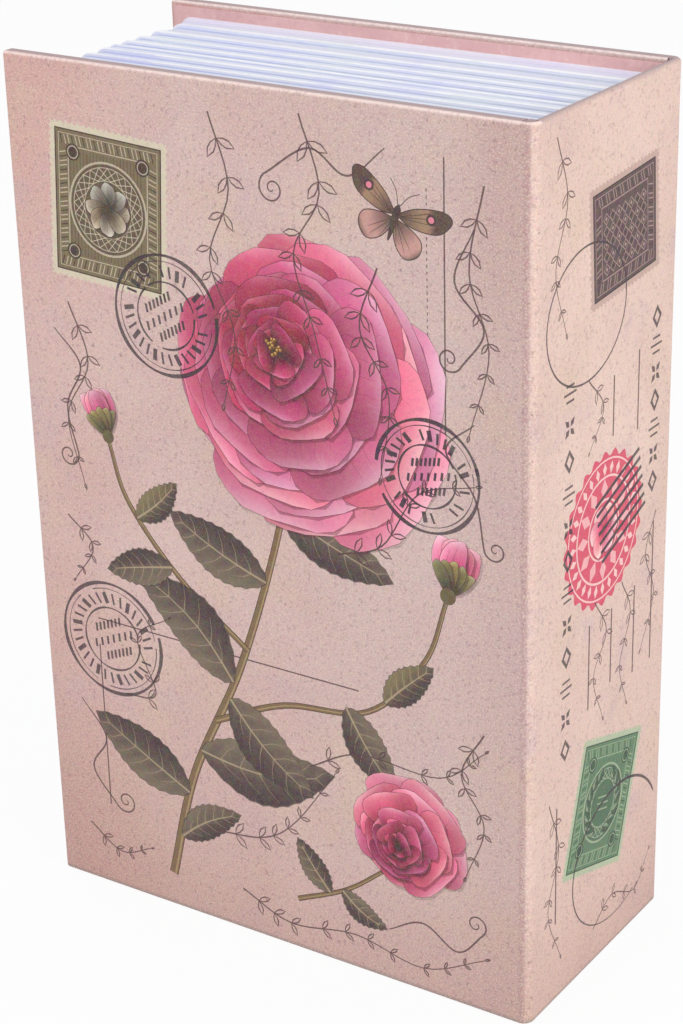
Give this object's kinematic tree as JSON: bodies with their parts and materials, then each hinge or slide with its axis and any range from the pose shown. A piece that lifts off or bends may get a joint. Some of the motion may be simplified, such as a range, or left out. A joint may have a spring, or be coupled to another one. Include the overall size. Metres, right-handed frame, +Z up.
{
  "type": "book diversion safe",
  "caption": "Closed hardback book standing upright whose moulded page block hides a steel cash tray with a hinged, cam-locked lid behind a front cover that opens.",
  "frame": {"origin": "on the standing surface, under the middle of the closed book", "axes": "+Z up towards the head of the book, +X from the fore-edge to the spine, +Y from the front cover to the back cover"},
  "size_m": [0.116, 0.056, 0.18],
  "materials": {
    "printed_paper": "printed, faintly satin",
    "endpaper": "matte",
    "grey_board": "matte",
    "page_plastic": "satin",
    "black_steel": "fine textured powder coat",
    "zinc_steel": "zinc plated",
    "nickel": "nickel plated",
    "lock_brass": "turned"
  },
  "bodies": {
    "case": {"page_block": "page_plastic", "case_wrap": "printed_paper", "joint_strip": "printed_paper", "spine_board": "grey_board", "back_cover_board": "grey_board", "back_endpaper": "endpaper", "cash_tray": "black_steel", "tray_hinge_leaf": "zinc_steel", "hinge_pin": "zinc_steel", "lock_keeper": "zinc_steel", "tray_screw_1": "zinc_steel", "tray_screw_2": "zinc_steel", "tray_screw_3": "zinc_steel", "tray_screw_4": "zinc_steel", "tray_leaf_rivet_1": "zinc_steel", "tray_leaf_rivet_2": "zinc_steel", "tray_leaf_rivet_3": "zinc_steel", "keeper_rivet_1": "zinc_steel", "keeper_rivet_2": "zinc_steel"},
    "front_cover": {"front_cover_wrap": "printed_paper", "front_cover_board": "grey_board", "front_endpaper": "endpaper"},
    "lid": {"lid": "black_steel", "lid_hinge_leaf": "zinc_steel", "lock_housing": "nickel", "lock_nut": "nickel", "lid_leaf_rivet_1": "zinc_steel", "lid_leaf_rivet_2": "zinc_steel", "lid_leaf_rivet_3": "zinc_steel"},
    "lock": {"lock_plug": "lock_brass", "lock_cam": "zinc_steel", "cam_washer": "zinc_steel", "cam_screw": "zinc_steel", "lock_wafer_1": "lock_brass", "lock_wafer_2": "lock_brass", "lock_wafer_3": "lock_brass", "lock_wafer_4": "lock_brass"}
  },
  "joints": [
    {"name": "cover_hinge", "type": "hinge", "parent": "case", "child": "front_cover", "pos_m": [0.058, -0.028, 0.09], "axis": [0, 0, 1], "range_deg": [0, 180]},
    {"name": "lid_hinge", "type": "hinge", "parent": "case", "child": "lid", "pos_m": [0.0407, -0.02205, 0.09], "axis": [0, 0, 1], "range_deg": [0, 110]},
    {"name": "lock_turn", "type": "hinge", "parent": "lid", "child": "lock", "pos_m": [-0.029, -0.022, 0.09], "axis": [0, -1, 0], "range_deg": [0, 90]}
  ],
  "couplings": [
    {"joint": "lid_hinge", "follows": "cover_hinge", "ratio": 0.61111}
  ]
}
